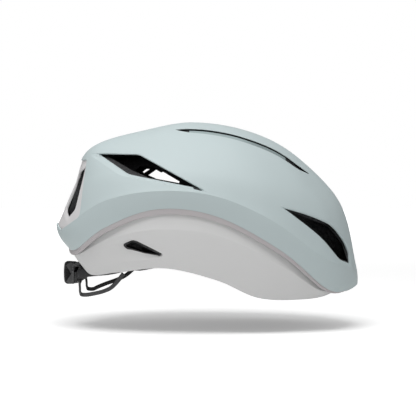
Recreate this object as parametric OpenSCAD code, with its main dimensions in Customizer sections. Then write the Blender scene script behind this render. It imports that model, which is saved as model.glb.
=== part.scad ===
// Road bike helmet: an outer shell and foam cap over an inner foam liner, with a
// dial-tightened fit cradle, pads and stowed chin straps.
// X points forward, Y to the wearer's left, Z up. The origin is on the table below mid-length.

/* [Helmet body] */
// Length of the outer shell, front to back
helmet_len = 283; // [262:1:304]
// Width of the outer shell at its widest crease
helmet_w = 202; // [192:1:216]
// Height of the crown above the table
helmet_h = 163; // [158:1:176]
// Thickness of the outer and lower plastic skins
skin_t = 1.5; // [1:0.1:2]
// Gap left between two foam or plastic layers
layer_gap = 0.4; // [0.2:0.1:0.6]
// Share of the way from the outer surface to the head centre at which the two foams meet
seam_share = 0.15; // [0.12:0.01:0.17]

/* [Head space] */
// Length of the head space
head_len = 198; // [188:1:202]
// Width of the head space
head_w = 154; // [146:1:156]
// Height of the head space's top above the table
head_top = 126; // [118:1:128]

/* [Fit system] */
// Radius of the dial knob
knob_r = 10.7; // [9:0.1:11]
// Length of the dial knob along its axis
knob_len = 9; // [7:0.5:10]
// Width of the dial housing
housing_w = 56; // [50:1:60]
// Depth of the dial housing, front to back
housing_d = 9; // [8.5:0.5:10]
// Thickness of the flexible bands
band_t = 1.4; // [1:0.1:1.8]
// Width of the flexible bands
band_w = 8; // [6:0.5:8.5]
// Radius of the pins that the bands turn on at the temples
pin_r = 2; // [1.6:0.1:2.5]
// Radial clearance of a running fit
run_gap = 0.08; // [0.05:0.01:0.1]
// Thickness of the round-cornered cradle arms
arm_t = 2.6; // [2:0.1:3]

/* [Padding and straps] */
// Thickness of the comfort pads
pad_t = 6; // [4:0.5:7]
// Width of the strap webbing
web_w = 15; // [12:1:18]
// Thickness of the strap webbing
web_t = 1.5; // [1:0.1:2]

/* [Hidden] */

// The rings below are drawn for this size, and stretch to the helmet's own.
drawn = [283, 202, 163];
stretch = [helmet_len / drawn[0], helmet_w / drawn[1], helmet_h / drawn[2]];
function place(p) = [p[0] * stretch[0], p[1] * stretch[1], p[2] * stretch[2]];

// Nine stations run along each ring from the front centre to the rear centre.
crown = [-12, 0, 163];
ring_brow = [[42, 0, 153.5], [34, 17, 153.5], [22, 28, 154], [7, 34, 155], [-9, 37, 156],
    [-27, 37, 156.5], [-43, 33, 156], [-56, 21, 155.5], [-62, 0, 154.5]];
ring_slope = [[85, 0, 130], [73, 34, 128], [53, 54, 129], [27, 65, 134], [-2, 69, 137],
    [-36, 67, 138.5], [-74, 57, 138], [-104, 39, 139], [-112, 0, 136]];
ring_side = [[122, 0, 88], [108, 44, 85], [84, 69, 91], [45, 85, 106], [2, 91, 115],
    [-42, 90, 118], [-86, 77, 115], [-118, 48, 106], [-127, 0, 104]];
ring_crease = [[140.5, 0, 27], [129, 42, 28], [102, 72, 39.5], [57, 93, 72], [6, 101, 94],
    [-45, 101, 98.3], [-92, 87, 89.5], [-129, 54, 67.5], [-143.5, 0, 67]];
ring_edge = [[142, 0, 10.5], [128, 38, 6.5], [107, 60, 10.5], [66, 85.5, 45], [8, 96, 76],
    [-45, 96, 82.5], [-92, 83, 66], [-121, 55, 45], [-132, 0, 47]];
ring_tuck = [[131, 0, 21], [117, 35, 16], [98, 56, 19], [61, 79, 53], [6, 90, 83],
    [-44, 90, 89], [-88, 77, 73], [-113, 51, 53], [-123, 0, 54]];
ring_flank = [[132, 0, 14], [118, 37, 8], [100, 60, 9], [63, 83, 33.5], [9, 94.5, 59],
    [-44, 95, 64.5], [-88, 81, 56], [-119, 50, 40.5], [-129.5, 0, 45]];
ring_rim = [[124, 0, 11], [112, 37, 3], [88, 60, 0.1], [46, 77, 2.6], [8, 85, 19],
    [-38, 86, 29.8], [-82, 71, 25.2], [-109, 46, 22.3], [-122, 0, 39]];

// Sections between two stations, and between two rings
along = 3;
across = 2;
columns = 16 * along;

function spline(a, b, c, d, t) = 0.5 * (2 * b + (c - a) * t + (2 * a - 5 * b + 4 * c - d) * t * t
    + (3 * b - a - 3 * c + d) * t * t * t);
function station(ring, j) = let (k = (j + 16) % 16, p = ring[k <= 8 ? k : 16 - k])
    place([p[0], k <= 8 ? p[1] : -p[1], p[2]]);
function loop(ring) = [for (i = [0 : columns - 1]) let (j = floor(i / along))
    spline(station(ring, j - 1), station(ring, j), station(ring, j + 1), station(ring, j + 2),
        (i % along) / along)];
function unit(v) = v / norm(v);
function mix(a, b, t) = a + (b - a) * t;
function shrink(row, share) = [for (p = row) mix(p, head_mid, share)];

// Rows of a smooth dome, from the loops that it passes through, top row first
function dome_rows(top, loops) = [for (k = [0 : len(loops) - 1], m = [1 : across])
    [for (i = [0 : columns - 1]) let (
        b = k == 0 ? top : loops[k - 1][i],
        a = k == 0 ? loops[0][(i + columns / 2) % columns] : k == 1 ? top : loops[k - 2][i],
        c = loops[k][i],
        d = k == len(loops) - 1 ? 2 * c - b : loops[k + 1][i])
        spline(a, b, c, d, m / across)]];
function band_rows(upper, lower, count) = [for (m = [1 : count])
    [for (i = [0 : columns - 1]) mix(upper[i], lower[i], m / count)]];
function row_normal(rows, top, k, i) = let (
    up = k > 0 ? rows[k - 1][i] : is_num(top[0]) ? top : top[i],
    down = rows[min(k + 1, len(rows) - 1)][i],
    side = rows[k][(i + 1) % columns] - rows[k][(i + columns - 1) % columns])
    unit(cross(down - up, side));
function inset(rows, top, depth) = [for (k = [0 : len(rows) - 1])
    [for (i = [0 : columns - 1]) rows[k][i] - depth * row_normal(rows, top, k, i)]];
function flat(rows) = [for (row = rows) each row];

// Triangles that join row to row and a row to its tip, facing outwards or, when turned, inwards
function strip(first, second, turned) = [for (i = [0 : columns - 1]) let (n = (i + 1) % columns)
    each turned
        ? [[first + i, second + n, first + n], [first + i, second + i, second + n]]
        : [[first + i, first + n, second + n], [first + i, second + n, second + i]]];
function fan(tip, first, turned) = [for (i = [0 : columns - 1]) let (n = (i + 1) % columns)
    turned ? [tip, first + i, first + n] : [tip, first + n, first + i]];
function strips(first, n, turned) = [for (k = [0 : n - 2])
    each strip(first + k * columns, first + (k + 1) * columns, turned)];

// A closed cap between an outer and an inner dome with the same number of rows
module cap(top, rows, low_top, low_rows) {
    n = len(rows);
    start = 1 + n * columns;
    polyhedron(points = concat([top], flat(rows), [low_top], flat(low_rows)), faces = concat(
        fan(0, 1, false), strips(1, n, false), fan(start, start + 1, true), strips(start + 1, n, true),
        strip(1 + (n - 1) * columns, start + 1 + (n - 1) * columns, false)), convexity = 10);
}

// A closed band between outer rows and the same number of inner rows
module hoop(rows, low_rows) {
    n = len(rows);
    start = n * columns;
    polyhedron(points = concat(flat(rows), flat(low_rows)), faces = concat(
        strips(0, n, false), strips(start, n, true),
        strip((n - 1) * columns, start + (n - 1) * columns, false), strip(start, 0, false)), convexity = 10);
}

head_mid = [0, 0, 38];
head_r = [head_len / 2, head_w / 2, head_top - 38];
// The point of the head space on the line from the head centre to p
function on_head(p) = let (d = p - head_mid)
    head_mid + d / norm([d[0] / head_r[0], d[1] / head_r[1], max(0, d[2]) / head_r[2]]);

top_point = place(crown);
dome_loops = [loop(ring_brow), loop(ring_slope), loop(ring_side), loop(ring_crease)];
edge_loop = loop(ring_edge);
tuck_loop = loop(ring_tuck);
flank_loop = loop(ring_flank);
rim_loop = loop(ring_rim);
skin_rows = concat(dome_rows(top_point, dome_loops), band_rows(dome_loops[3], edge_loop, 2));

seam_top = mix(top_point, head_mid, seam_share);
seam_rows = concat(dome_rows(seam_top, [for (k = [0 : 2]) shrink(dome_loops[k], seam_share)]),
    band_rows(shrink(dome_loops[2], seam_share), tuck_loop, 4));
lower_rows = concat([tuck_loop], band_rows(tuck_loop, flank_loop, 2), band_rows(flank_loop, rim_loop, 3));

// Openings, drawn as seen from the side: [x, z]
side_vent = [[-97, 131], [-62, 131], [-5, 99.5], [-14.6, 101.8], [-70.6, 113]];
side_vent_deep = [[-58, 112.2], [-49.4, 118.4], [-28.3, 106.2]];
side_vent_small = [[-62.3, 116.2], [-60.6, 114.8], [-54.7, 118.7], [-58.7, 119]];
// On both sides of the slanting rib between those two, one wider passage leads out to the side vent
side_passage = [
    [-66.5, 117], [-62, 121], [-51.5, 120.4], [-46, 118.8], [-25.5, 106.8],
    [-26, 105], [-55.5, 110.6], [-61.5, 111.6], [-64.5, 114.4]
];
front_vent = [[67, 83.5], [110, 67], [124.5, 50], [131, 31], [121.5, 34.7], [116, 38.7], [100.6, 57.3]];
low_vent = [[-74.6, 50], [-68, 54], [-64.6, 53.6], [-41.8, 42.2], [-43.6, 41], [-56.7, 43], [-72.5, 47.7]];
rear_cut = [[-110.8, 145], [-110.4, 125], [-115.5, 75], [-133, 63.6], [-160, 67], [-160, 145]];
rear_vent = [[-113, 118], [-114.3, 90], [-120, 79.3], [-126.3, 74.6], [-130.3, 79], [-121, 110]];
// Where the shell and the panel slope down into a vent, the foam under them lies deeper
side_slope = [[-99, 132.5], [-102.5, 127], [-72.5, 106.5], [-10, 97], [-14, 102.6], [-70, 114], [-96, 131.5]];
rear_slope = [[-115, 118], [-121.5, 113], [-135.5, 79.5], [-127, 68.5], [-117.5, 76.5], [-119.5, 80], [-126, 75.6],
    [-129.5, 79.5], [-120, 109]];
// The long top slots, drawn from above: [x, y, half width]
slot_line = [[-30, 41.9, 0.3], [-17, 43.6, 3.8], [11, 43.1, 5], [40, 40.6, 4.9], [70, 35.5, 4.8],
    [82, 32, 3.8], [95, 25.5, 0.3]];

// A side-view outline cut from near the middle plane outwards
module side_cut(outline, grow, reach, sides) {
    for (s = sides) scale([stretch[0], s * stretch[1], stretch[2]])
        translate([0, reach[1], 0]) rotate([90, 0, 0])
            linear_extrude(height = reach[1] - reach[0]) offset(delta = grow) polygon(outline);
}

module slot_cut(grow, sides, first, last) {
    for (s = sides, k = [first : last - 1])
        hull() for (m = [k, k + 1]) let (p = slot_line[m])
            translate([p[0] * stretch[0], s * p[1] * stretch[1], 60])
                cylinder(r = max(0.3, p[2] + grow), h = 120, $fn = 10);
}

// Long thin pieces: a closed skin over equal rings of points, then flat and round sections
module tube(rings) {
    n = len(rings);
    m = len(rings[0]);
    polyhedron(points = flat(rings), faces = concat(ladder(0, m, false),
        [for (k = [0 : n - 2], j = [0 : m - 1]) let (i = (j + 1) % m, a = k * m, b = a + m)
            each [[a + j, b + j, b + i], [a + j, b + i, a + i]]],
        ladder((n - 1) * m, m, true)), convexity = 10);
}
// Triangles across the end of a tube, between its ring's two halves
function ladder(first, m, turned) = [for (j = [0 : m / 2 - 2]) let (a = first + j, b = a + 1,
    d = first + m - 1 - j, c = d - 1)
    each turned ? [[a, c, b], [a, d, c]] : [[a, b, c], [a, c, d]]];
function smooth(path, steps) = concat([for (k = [0 : len(path) - 2], m = [0 : steps - 1]) let (
    b = path[k], c = path[k + 1],
    a = k == 0 ? 2 * b - c : path[k - 1],
    d = k == len(path) - 2 ? 2 * c - b : path[k + 2])
    spline(a, b, c, d, m / steps)], [path[len(path) - 1]]);
function heading(path, k) = unit(path[min(k + 1, len(path) - 1)] - path[max(k - 1, 0)]);
// Ring points of a flat strip, where side is the direction across its width
function strip_ring(p, ahead, side, w, t) = let (n = unit(cross(ahead, side)), a = unit(cross(n, ahead)))
    [p + a * w / 2 + n * t / 2, p - a * w / 2 + n * t / 2, p - a * w / 2 - n * t / 2, p + a * w / 2 - n * t / 2];
module band(path, w, t) {
    tube([for (k = [0 : len(path) - 1]) strip_ring(path[k], heading(path, k), [0, 0, 1], w, t)]);
}
module webbing(path, w, t) {
    tube([for (k = [0 : len(path) - 1]) let (h = heading(path, k))
        strip_ring(path[k], h, cross(unit(path[k] - head_mid), h), w, t)]);
}
module rod(path, r) {
    tube([for (k = [0 : len(path) - 1]) let (h = heading(path, k), u = unit(cross(h, [0.3, 1, 0.2])), v = cross(h, u))
        [for (j = [0 : 7]) path[k] + r * (cos(45 * j + 22.5) * u + sin(45 * j + 22.5) * v)]]);
}
function mirrored(path, s) = [for (p = path) [p[0], s * p[1], p[2]]];

// Points and patches of the head space wall, by column and row
wall_rows = [for (row = inner_outline()) [for (p = row) on_head(p)]];
function inner_outline() = let (low = inset(lower_rows, lower_rows[0], skin_t + 0.1))
    concat([for (k = [0 : len(seam_rows) - 2]) seam_rows[k]], [for (k = [0 : len(lower_rows) - 2]) low[k]],
        [[for (i = [0 : columns - 1]) let (p = low[len(low) - 1][i],
            d = rim_loop[i] - lower_rows[len(low) - 2][i]) p + d * (p[2] - rim_loop[i][2]) / -d[2]]]);
function wall(u, v) = let (i = floor(u), k = min(floor(v), len(wall_rows) - 2), f = u - i, g = v - k,
    i0 = (i + columns) % columns, i1 = (i + 1 + columns) % columns)
    mix(mix(wall_rows[k][i0], wall_rows[k][i1], f), mix(wall_rows[k + 1][i0], wall_rows[k + 1][i1], f), g);
function off_wall(u, v, depth) = let (p = wall(u, v)) p + depth * unit(head_mid - p);
module wall_patch(u0, u1, v0, v1, near, far, steps) {
    nu = steps[0];
    nv = steps[1];
    tube([for (m = [0 : nu]) let (e = m == 0 || m == nu ? 0.5 : 0, u = u0 + (u1 - u0) * m / nu)
        concat([for (j = [0 : nv]) off_wall(u, v0 + (v1 - v0) * j / nv, near + e)],
            [for (j = [nv : -1 : 0]) let (v = v0 + (v1 - v0) * j / nv) off_wall(mix(u, (u0 + u1) / 2, 0.04),
                mix(v, (v0 + v1) / 2, 0.08), far - (m == 0 || m == nu || j == 0 || j == nv ? 1.2 : 0) * min(1, far / 5))])]);
}

module outer_cuts(side_grow, grow) {
    side_cut(side_vent, side_grow, [20, 120], [-1, 1]);
    side_cut(front_vent, grow, [10, 120], [-1, 1]);
    slot_cut(grow, [-1, 1], 0, len(slot_line) - 1);
}

// The layer of the outer skin from one height above it to a depth below it
module skin_layer(above, below) {
    cap(top_point + [0, 0, above], inset(skin_rows, top_point, -above),
        top_point - [0, 0, below], inset(skin_rows, top_point, below));
}

module upper_shell() {
    color("lightsteelblue") difference() {
        cap(top_point, skin_rows, top_point - [0, 0, skin_t], inset(skin_rows, top_point, skin_t));
        outer_cuts(0, 0);
        side_cut(rear_cut, 0, [-120, 120], [1]);
    }
}

panel_step = 1.4;
module outer_foam() {
    depth = skin_t + 0.1;
    deep = panel_step + skin_t + 0.1;
    color("dimgray") difference() {
        cap(top_point - [0, 0, depth], inset(skin_rows, top_point, depth),
            seam_top + [0, 0, layer_gap], inset(seam_rows, seam_top, -layer_gap));
        outer_cuts(-0.1, -0.8);
        side_cut(rear_vent, 0, [25, 120], [-1, 1]);
        intersection() {
            side_cut(rear_cut, 0.1, [-120, 120], [1]);
            skin_layer(3, deep);
        }
        intersection() {
            side_cut(side_slope, 0, [20, 120], [-1, 1]);
            skin_layer(3, skin_t + 2.7);
        }
        intersection() {
            side_cut(rear_slope, 0, [20, 120], [-1, 1]);
            skin_layer(3, deep + 3.8);
        }
    }
}

module rear_panel() {
    color("gainsboro") difference() {
        intersection() {
            side_cut(rear_cut, -0.1, [-120, 120], [1]);
            cap(top_point - [0, 0, panel_step], inset(skin_rows, top_point, panel_step),
                top_point - [0, 0, panel_step + skin_t], inset(skin_rows, top_point, panel_step + skin_t));
        }
        side_cut(rear_vent, 0.4, [25, 120], [-1, 1]);
    }
}

// How far the trim reaches down at each station
trim_drop = [0.6, 0.8, 2, 3.4, 4.2, 4.4, 4.4, 4.4, 3.6];
function trim_fall(i) = let (j = floor(i / along), f = i / along - j)
    mix(trim_drop[j <= 8 ? j : 16 - j], trim_drop[j < 8 ? j + 1 : 15 - j], f);
function trim_loop(share) = [for (i = [0 : columns - 1]) let (p = mix(edge_loop[i], tuck_loop[i], share))
    [p[0], p[1], edge_loop[i][2] - 0.2]];
module edge_trim() {
    upper = trim_loop(0.06);
    inner = trim_loop(0.2);
    drop = [for (i = [0 : columns - 1]) 0.04 * (flank_loop[i] - edge_loop[i]) - [0, 0, trim_fall(i)]];
    color("rosybrown") hoop([upper, upper + drop], [inner, inner + drop]);
}

module slot_floor(s) {
    color("cadetblue") intersection() {
        cap(top_point - [0, 0, 3], inset(skin_rows, top_point, 3),
            top_point - [0, 0, 4.5], inset(skin_rows, top_point, 4.5));
        slot_cut(-0.9, [s], 1, 4);
        translate([0, s * 3.4 * stretch[1], 0]) slot_cut(0, [s], 0, 6);
    }
}
module slot_floor_left() slot_floor(1);
module slot_floor_right() slot_floor(-1);

module lower_shell() {
    color("whitesmoke") difference() {
        hoop(lower_rows, inset(lower_rows, lower_rows[0], skin_t));
        side_cut(low_vent, 0, [40, 120], [-1, 1]);
    }
}

module inner_foam() {
    color("dimgray") difference() {
        cap(seam_top, inner_outline(), on_head(seam_top), wall_rows);
        side_cut(low_vent, -0.8, [40, 120], [-1, 1]);
        side_cut(side_vent_deep, 0, [-10, 10], [1]);
        side_cut(side_vent_small, 0, [-10, 10], [1]);
        side_cut(side_passage, 0, [9, 120], [-1, 1]);
        side_cut(front_vent, -3.2, [10, 120], [-1, 1]);
        side_cut(rear_vent, -2.6, [20, 120], [-1, 1]);
        slot_cut(-1.2, [-1, 1], 2, 5);
        for (s = [-1, 1]) temple_cylinder(s, 8.1, [-10, 7]);
        air_channels();
    }
}

// Shallow grooves along the head space's roof that carry air from the front to the rear
module air_channels() {
    intersection() {
        translate(head_mid) scale(head_r + [4, 4, 4]) sphere(r = 1, $fn = 24);
        for (y = [-40, 0, 40]) translate([-130, y * head_w / 154 - 7, 84 * stretch[2]]) cube([260, 14, 90]);
    }
}

// Fit system positions: drawn for the drawn head space, they stretch with it
function fit(p) = [p[0] * head_len / 198, p[1] * head_w / 154, p[2] * stretch[2]];
temple = fit([35, 68.2, 48]);
band_line = smooth([for (p = [[10, 71.4, 43.5], [-20, 70.4, 38.5], [-50, 61, 32], [-72, 48.8, 27.5],
    [-86, 33.7, 23.3], [-96, 30.2, 21.6], [-108, 32, 21], [-117, 31.2, 20.7], [-121.4, 29.7, 20.7]]) fit(p)], 4);

// A cylinder on the temple axis, from one distance outwards to another
module temple_cylinder(s, r, reach, sides = 40) {
    scale([1, s, 1]) translate([temple[0], temple[1] + reach[1], temple[2]]) rotate([90, 0, 0])
        cylinder(r = r, h = reach[1] - reach[0], $fn = sides);
}
module temple_anchor(s) {
    color("black") union() {
        temple_cylinder(s, 8, [1.8, 6.8]);
        temple_cylinder(s, pin_r, [-2, 2]);
        temple_cylinder(s, pin_r + 1.6, [-2.6, -1.1]);
    }
}
module temple_anchor_left() temple_anchor(1);
module temple_anchor_right() temple_anchor(-1);

module fit_band(s) {
    lead = smooth([temple - [4.5, 0, 0.7], temple - [10, -0.2, 1.8], temple - [16, -1.5, 3.1], band_line[0]], 2);
    color("dimgray") difference() {
        union() {
            band(mirrored(concat([for (k = [0 : len(lead) - 2]) lead[k]], band_line), s), band_w, band_t);
            temple_cylinder(s, pin_r + 4, [-band_t / 2, band_t / 2]);
        }
        temple_cylinder(s, pin_r + run_gap, [-6, 6]);
    }
}
module band_left() fit_band(1);
module band_right() fit_band(-1);

// The dial housing lies behind and below the rear rim. Its parts are placed from the dial's axis.
dial = fit([-121.5, 0, 20.6]);
pinion_r = 4;
teeth = 8;
tooth_pitch = 2 * 180 / teeth * pinion_r * PI / 180;
half_w = housing_w / 2;
// The slot through the housing that the two racks run in
rack_bar = 1.1;
slot_h = 2 * (pinion_r + 1.15 + rack_bar + 0.4);

// A side profile [x, z] from the dial's centre, drawn out along Y between two points
module across_y(profile, from, to) {
    translate([dial[0], to, dial[2]]) rotate([90, 0, 0]) linear_extrude(height = to - from) polygon(profile);
}
module housing() {
    color("dimgray") difference() {
        union() {
            across_y([[-3, -slot_h / 2 - 1.9], [-3, slot_h / 2 + 1.9], [housing_d / 2 - 3.3, slot_h / 2 + 1.2],
                [housing_d + 3.5, 0.8], [housing_d + 2, -1.6], [housing_d / 2 - 2.9, -slot_h / 2 - 1.2]], -half_w, half_w);
        }
        across_y([[-4, -slot_h / 2], [-4, slot_h / 2], [0.7, slot_h / 2], [0.7, -slot_h / 2]], -half_w - 1, half_w + 1);
        for (s = [-1, 1]) scale([1, s, 1]) translate([dial[0] - 4, half_w - 5, dial[2] + 5])
            rotate([-40, 0, 0]) translate([0, 0, 1.6]) cube([20, 14, 14]);
    }
}
module housing_cover() {
    color("gray") difference() {
        union() {
            across_y([[-4.9, -slot_h / 2 - 2.4], [-4.9, slot_h / 2 + 2.2], [-3.1, slot_h / 2 + 2],
                [-3.1, -slot_h / 2 - 2]], -half_w, half_w);
            for (s = [-1, 1]) scale([1, s, 1])
                across_y([[-4.8, 8.3], [-12, 4.2], [-7.5, -0.4], [-13.2, -6.8], [-5.6, -10.2], [-4.8, -10.2]],
                    knob_r + 0.8, knob_r + 2.6);
        }
        translate([dial[0] - 10, 0, dial[2]]) rotate([0, 90, 0]) cylinder(r = 2.4 + run_gap, h = 20, $fn = 40);
        for (s = [-1, 1]) scale([1, s, 1]) translate([dial[0] - 6, half_w - 5, dial[2] + 5])
            rotate([-40, 0, 0]) translate([0, 0, 1.6]) cube([20, 14, 14]);
    }
}

// Parts that turn with the dial
module round_x(from, to, r, sides = 40) {
    translate([dial[0] + from, 0, dial[2]]) rotate([0, 90, 0]) cylinder(r = r, h = to - from, $fn = sides);
}
module knob() {
    color("black") union() {
        translate([dial[0] - 5.6 - knob_len, 0, dial[2]]) rotate([0, 90, 0]) linear_extrude(height = knob_len - 0.9)
            polygon([for (a = [0 : 7.5 : 352.5]) (knob_r - 0.9 + 0.5 * cos(a * 12)) * [cos(a), sin(a)]]);
        round_x(-6.5, -5.3, 5.5);
        round_x(-5.3, -2.55, 2.4);
    }
}
module knob_grip() {
    color("dimgray") difference() {
        translate([dial[0] - 5.6 - knob_len * 0.8, 0, dial[2]]) rotate([0, 90, 0]) linear_extrude(height = knob_len * 0.5)
            polygon([for (a = [0 : 7.5 : 352.5]) (knob_r + 0.35 * cos(a * 12)) * [cos(a), sin(a)]]);
        translate([dial[0] - 6 - knob_len, 0, dial[2]]) rotate([0, 90, 0]) linear_extrude(height = knob_len + 1)
            polygon([for (a = [0 : 7.5 : 352.5]) (knob_r - 0.85 + 0.5 * cos(a * 12)) * [cos(a), sin(a)]]);
    }
}
module pinion() {
    color("white") translate([dial[0] - 2.5, 0, dial[2]]) rotate([0, 90, 0]) linear_extrude(height = 2.6)
        polygon([for (k = [0 : teeth - 1]) each [
            for (q = [[-0.85, pinion_r - 1.2], [-0.36, pinion_r + 0.75], [0.36, pinion_r + 0.75], [0.85, pinion_r - 1.2]])
                let (a = 360 * k / teeth) [q[1] * cos(a) - q[0] * sin(a), q[1] * sin(a) + q[0] * cos(a)]]]);
}

rack_top = pinion_r + 1.15 + rack_bar;
// A rack above or below the pinion, drawn for the left side: teeth, bar and end tab
module rack(s) {
    color("gainsboro") scale([1, s, 1]) translate([dial[0] - 2.6, 0, dial[2]]) rotate([90, 0, 90])
        linear_extrude(height = 2.8) scale([1, s]) polygon(concat(
            [[-5, rack_top], [-5, pinion_r + 1.15]],
            [for (k = [-1 : 4]) each [for (q = [[-0.65, pinion_r + 1.15], [-0.32, pinion_r - 0.65],
                [0.32, pinion_r - 0.65], [0.65, pinion_r + 1.15]]) [q[0] + (k + 0.5) * tooth_pitch, q[1]]]],
            [[25, pinion_r + 1.15], [25, -2.2], [half_w + 0.6, -2.2], [half_w + 0.6, rack_top]]));
}
module rack_left() rack(1);
module rack_right() rack(-1);

// The cradle's arms: loops that hang below the housing and rise to the sides
arm_line = smooth([for (p = [[-119.5, 24.5, 11.1], [-119.2, 30.6, 10.9], [-118.6, 34.1, 8.4], [-118.4, 35, 4.2],
    [-116.6, 35.2, 1.7], [-112, 35.4, 1.45], [-104, 36.4, 3.1], [-95.4, 38.6, 6], [-87.4, 41.8, 10.2],
    [-81.6, 44.6, 15.4], [-77.6, 46, 21.2]]) fit(p)], 3);
module arm(s) {
    color("dimgray") rod(mirrored(arm_line, s), arm_t / 2);
}
module arm_left() arm(1);
module arm_right() arm(-1);

// The stem that holds the cradle up, and its guide on the head space's rear wall
stem_line = smooth(concat([for (p = [[-110.6, 0, 23.5], [-105, 0, 27.6], [-99, 0, 34]]) fit(p)],
    [for (p = [[-96, 0, 42, 2.9], [-95, 0, 52, 2.7], [-91.8, 0, 63, 2.96], [-86.8, 0, 74, 3.15]])
        near_wall([p[0], p[1], p[2]], p[3])]), 3);
module stem() {
    color("black") tube([for (k = [0 : len(stem_line) - 1])
        strip_ring(stem_line[k], heading(stem_line, k), [0, 1, 0], 11, band_t)]);
}
module height_guide() {
    color("dimgray") union() {
        wall_patch(23, 25, 6.4, 9.4, 0.15, 1.1, [4, 4]);
        wall_patch(23.05, 23.42, 6.5, 9.3, 0.6, 3.6, [2, 4]);
        wall_patch(24.58, 24.95, 6.5, 9.3, 0.6, 3.6, [2, 4]);
    }
}

// Pads on the head space wall
module pad(u0, u1, v0, v1, steps) {
    color("darkslategray") wall_patch(u0, u1, v0, v1, 0.25, pad_t, steps);
}
module brow_pad() pad(-4.6, 4.6, 6.2, 9.6, [12, 4]);
module crown_pad() pad(-2.4, 2.4, 2.2, 5.8, [6, 4]);
module rear_pad() pad(21.6, 26.4, 2, 5.4, [6, 4]);
module side_pad_left() pad(6.2, 8.6, 2.6, 6.4, [4, 4]);
module side_pad_right() pad(-8.6, -6.2, 2.6, 6.4, [4, 4]);

// Chin straps, stowed: folded up against the wall and closed across the head space's roof
function near_wall(p, depth) = let (q = on_head(place(p))) q + depth * unit(head_mid - q);
front_strap = smooth([for (p = [[14, 78, 27], [13, 78, 36], [10, 76, 50], [7, 66, 66]]) near_wall(p, 2.4)], 3);
rear_strap = smooth([for (p = [[-58, 56, 34], [-46, 60, 46], [-30, 62, 58], [-16, 60, 69]]) near_wall(p, 2.8)], 3);
chin_line = smooth(concat([for (p = [[-3, 60, 76, 3.95], [-5, 54, 92, 3.3], [-7, 44, 106, 3]])
    near_wall([p[0], p[1], p[2]], p[3])],
    [for (q = [[-8, 34, -12.4], [-8.5, 28, -14.9], [-9, 20.9, -16.4]]) [q[0], q[1], head_top + q[2]]]), 3);
module strap_front(s) {
    color("black") webbing(mirrored(front_strap, s), web_w, web_t);
}
module strap_rear(s) {
    color("black") webbing(mirrored(rear_strap, s), web_w, web_t);
}
module strap_chin(s) {
    color("black") webbing(mirrored(chin_line, s), web_w, web_t);
}
module strap_front_left() strap_front(1);
module strap_front_right() strap_front(-1);
module strap_rear_left() strap_rear(1);
module strap_rear_right() strap_rear(-1);
module strap_chin_left() strap_chin(1);
module strap_chin_right() strap_chin(-1);

// A divider joins the three straps of one side
module divider(s) {
    color("dimgray") tube([for (p = [[15, 62, 68], [4, 60, 74], [-8, 60, 74], [-19, 60, 68]])
        let (q = near_wall([p[0], s * p[1], p[2]], 6), h = unit([-1, 0, 0]))
        strip_ring(q, h, cross(unit(q - head_mid), h), 17, 2.4)]);
}
module divider_left() divider(1);
module divider_right() divider(-1);

// The buckle at the roof: a socket on the left strap and a pronged plug on the right one
buckle = [-9, 0, head_top - 16.6];
module buckle_socket() {
    color("black") translate(buckle) difference() {
        translate([-11, -2, -3.6]) cube([22, 22, 7.2]);
        translate([-9, -3, -1.9]) cube([18, 16.5, 3.8]);
        for (s = [-1, 1]) translate([s * 11.5 - 2.5, 4, -1.9]) cube([5, 9.5, 3.8]);
    }
}
module buckle_plug() {
    color("black") translate(buckle) union() {
        translate([-11, -20, -3.4]) cube([22, 17.4, 6.8]);
        for (s = [-1, 1]) translate([s * 6.6 - 1.6, -3, -1.5]) cube([3.2, 15.5, 3]);
        translate([-1.2, -3, -1.5]) cube([2.4, 12, 3]);
    }
}

upper_shell();
outer_foam();
rear_panel();
edge_trim();
slot_floor_left();
slot_floor_right();
lower_shell();
inner_foam();
temple_anchor_left();
temple_anchor_right();
band_left();
band_right();
housing();
housing_cover();
knob();
knob_grip();
pinion();
rack_left();
rack_right();
arm_left();
arm_right();
stem();
height_guide();
brow_pad();
crown_pad();
rear_pad();
side_pad_left();
side_pad_right();
strap_front_left();
strap_front_right();
strap_rear_left();
strap_rear_right();
strap_chin_left();
strap_chin_right();
divider_left();
divider_right();
buckle_socket();
buckle_plug();
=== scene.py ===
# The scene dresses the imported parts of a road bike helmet. The pieces' lengths are in millimetres,
# as a maker gives them, and become metres when a mesh is finished. The camera, the studio, the
# pads' swelling and the points of each blend are in metres.
import math

import bmesh
import bpy
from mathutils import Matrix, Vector
from mathutils.bvhtree import BVHTree


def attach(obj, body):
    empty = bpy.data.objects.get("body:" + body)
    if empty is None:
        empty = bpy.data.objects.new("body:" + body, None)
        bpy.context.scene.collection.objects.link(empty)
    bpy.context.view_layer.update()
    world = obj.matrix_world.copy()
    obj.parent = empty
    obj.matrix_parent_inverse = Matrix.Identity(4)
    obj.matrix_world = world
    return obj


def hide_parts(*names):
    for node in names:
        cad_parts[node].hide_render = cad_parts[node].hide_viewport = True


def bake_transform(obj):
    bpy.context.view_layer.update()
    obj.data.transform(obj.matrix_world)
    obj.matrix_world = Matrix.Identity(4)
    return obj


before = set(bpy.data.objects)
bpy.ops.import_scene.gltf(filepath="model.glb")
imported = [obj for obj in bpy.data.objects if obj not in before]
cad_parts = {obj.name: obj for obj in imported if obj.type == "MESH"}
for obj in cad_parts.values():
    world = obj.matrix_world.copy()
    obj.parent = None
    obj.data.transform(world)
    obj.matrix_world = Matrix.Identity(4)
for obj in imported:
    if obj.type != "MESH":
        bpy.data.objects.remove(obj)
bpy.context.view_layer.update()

# The camera looks at the right side from a little above, as the picture was taken. The focal
# length, in the picture's pixels, comes from the helmet's length in the frame.
view_distance = 1.3
view_height = 0.0818
view_rise = math.radians(1.0)
picture_width = 416
focal_pixels = 1368.4
camera_data = bpy.data.cameras.new("side_camera")
camera_data.sensor_width = 36
camera_data.sensor_fit = "HORIZONTAL"
camera_data.lens = 36 * focal_pixels / picture_width
camera = bpy.data.objects.new("side_camera", camera_data)
bpy.context.collection.objects.link(camera)
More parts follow.
